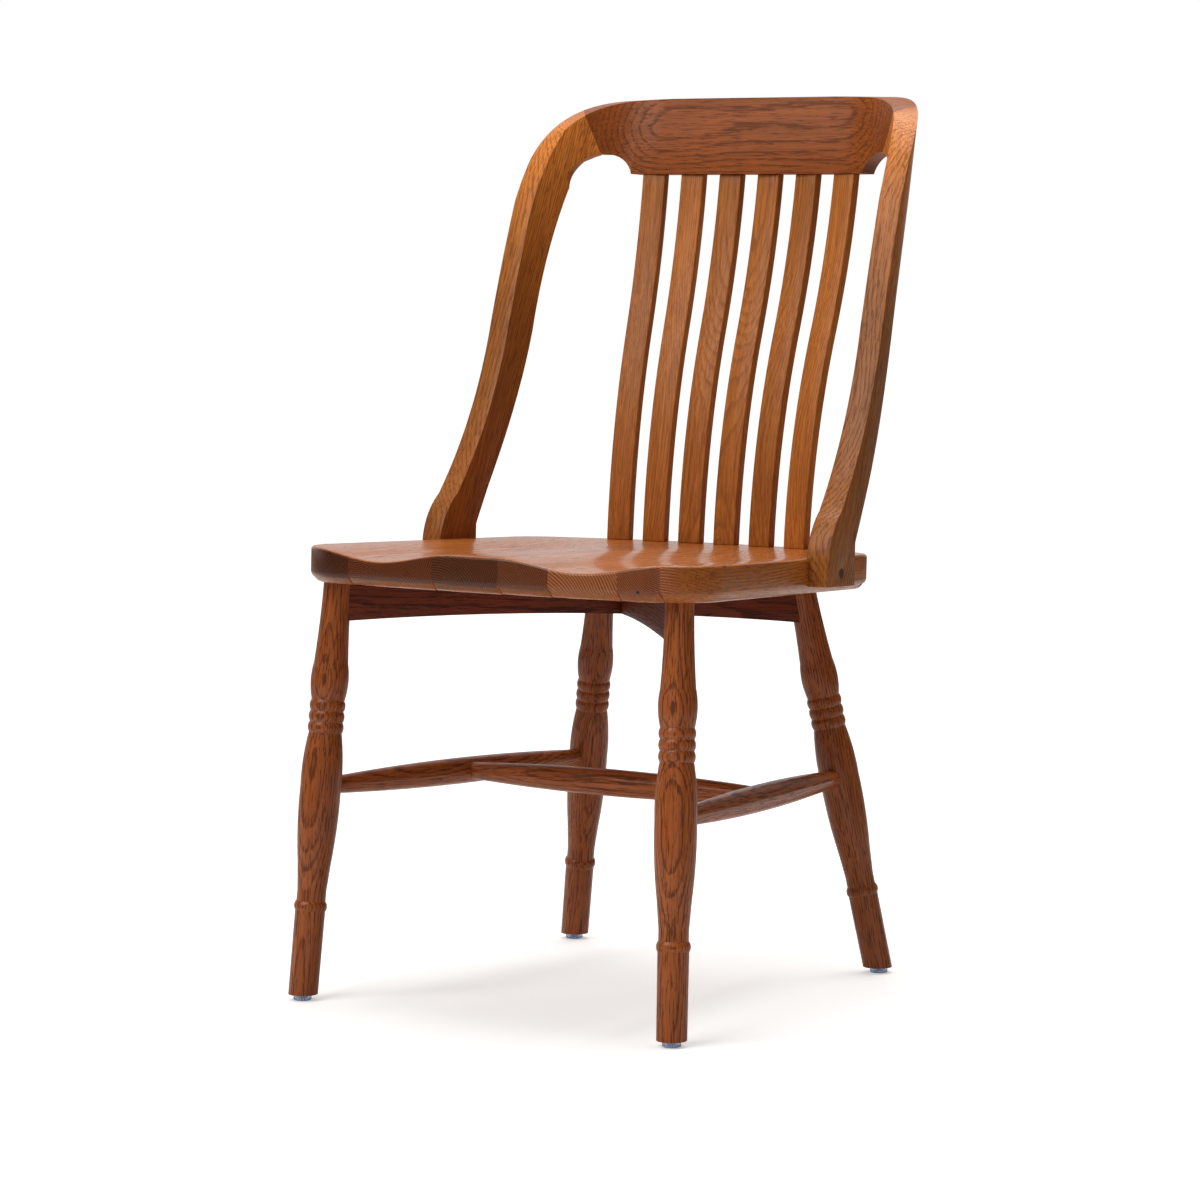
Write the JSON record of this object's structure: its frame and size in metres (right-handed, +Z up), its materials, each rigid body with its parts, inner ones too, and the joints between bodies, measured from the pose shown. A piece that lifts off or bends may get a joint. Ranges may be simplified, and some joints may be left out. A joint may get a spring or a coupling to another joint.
{
  "type": "wooden side chair",
  "caption": "Armless oak side chair: saddle seat of glued staves, turned splayed legs with an H of stretchers, crossed under-seat braces, and a hooped slatted back.",
  "frame": {"origin": "on the floor, under the middle of the chair's bounding box", "axes": "+X to the right as seen from the front, +Y towards the back, +Z up; the sitter faces -Y"},
  "size_m": [0.4808, 0.5486, 0.896],
  "materials": {
    "seat_oak": "satin clear lacquer",
    "back_oak": "satin clear lacquer",
    "leg_oak": "satin clear lacquer",
    "dark_oak": "satin clear lacquer",
    "dowel_beech": "raw",
    "glide_plastic": "clear",
    "steel": "zinc plated"
  },
  "bodies": {
    "root": {"seat_stave_1": "seat_oak", "seat_stave_2": "seat_oak", "seat_stave_3": "seat_oak", "seat_stave_4": "seat_oak", "seat_stave_5": "seat_oak", "seat_stave_6": "seat_oak", "seat_stave_7": "seat_oak", "leg_front_left": "leg_oak", "leg_front_right": "leg_oak", "leg_rear_left": "leg_oak", "leg_rear_right": "leg_oak", "side_stretcher_left": "leg_oak", "side_stretcher_right": "leg_oak", "cross_stretcher": "leg_oak", "seat_brace_a": "leg_oak", "seat_brace_b": "leg_oak", "back_post_left": "back_oak", "back_post_right": "back_oak", "crest_rail": "back_oak", "slat_1": "back_oak", "slat_2": "back_oak", "slat_3": "back_oak", "slat_4": "back_oak", "slat_5": "back_oak", "slat_6": "back_oak", "post_plug_left": "dark_oak", "post_plug_right": "dark_oak", "crest_dowels": "dowel_beech", "glide_front_left": "glide_plastic", "glide_front_right": "glide_plastic", "glide_rear_left": "glide_plastic", "glide_rear_right": "glide_plastic", "glide_nails": "steel", "post_screws": "steel", "brace_screws": "steel"}
  },
  "joints": []
}
